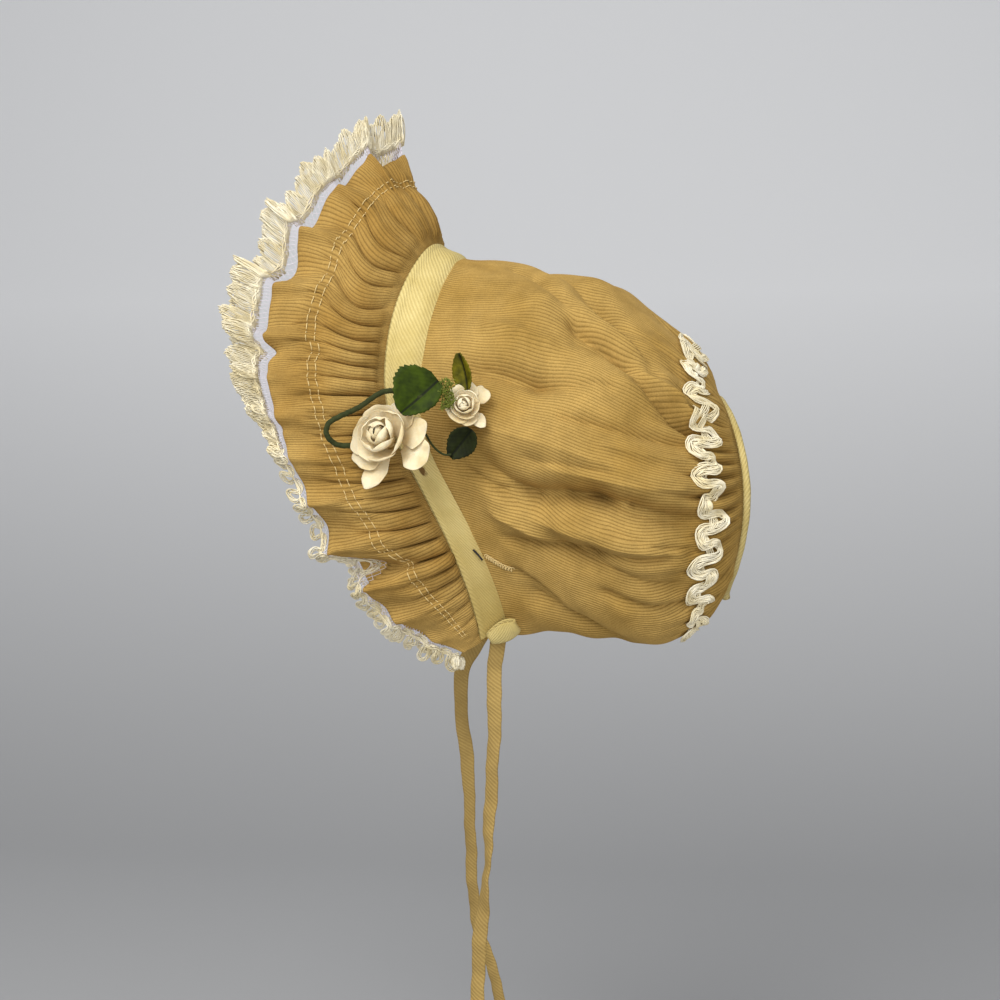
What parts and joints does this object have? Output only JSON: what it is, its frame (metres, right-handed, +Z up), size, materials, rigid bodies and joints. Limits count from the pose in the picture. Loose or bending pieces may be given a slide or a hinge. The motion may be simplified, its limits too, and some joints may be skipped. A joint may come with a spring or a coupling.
{
  "type": "corduroy bonnet",
  "caption": "Small gathered corduroy bonnet with a flared frill round the face, lace edging, taped seam, hanging ties and a sprig of paper roses.",
  "frame": {"origin": "the point inside the crown where the top of the head touches it", "axes": "+Z up, the face opening looks along -Y, the wearer's left side and the flowers are at +X"},
  "size_m": [0.1368, 0.1534, 0.2931],
  "materials": {
    "corduroy": "pinwale corduroy",
    "frill_corduroy": "pinwale corduroy, slightly stained",
    "bias_tape": "cotton bias tape",
    "cotton_net": "fine net",
    "rayon_lace": "shiny rayon lace",
    "rose_paper": "crepe paper",
    "leaf_cloth": "waxed cloth leaf",
    "stem_paper": "paper-wrapped wire"
  },
  "bodies": {
    "root": {"crown": "corduroy", "back_disc": "corduroy", "front_ruffle": "frill_corduroy", "front_band": "bias_tape", "back_binding": "bias_tape", "tie_tab_left": "bias_tape", "tie_tab_right": "bias_tape", "tie_left": "bias_tape", "tie_right": "bias_tape", "net_strip": "cotton_net", "lace_edging": "rayon_lace", "back_braid": "rayon_lace", "rose_large": "rose_paper", "rose_small": "rose_paper", "leaf_front": "leaf_cloth", "leaf_upright": "leaf_cloth", "leaf_dark": "leaf_cloth", "stem_wire": "stem_paper"}
  },
  "joints": []
}
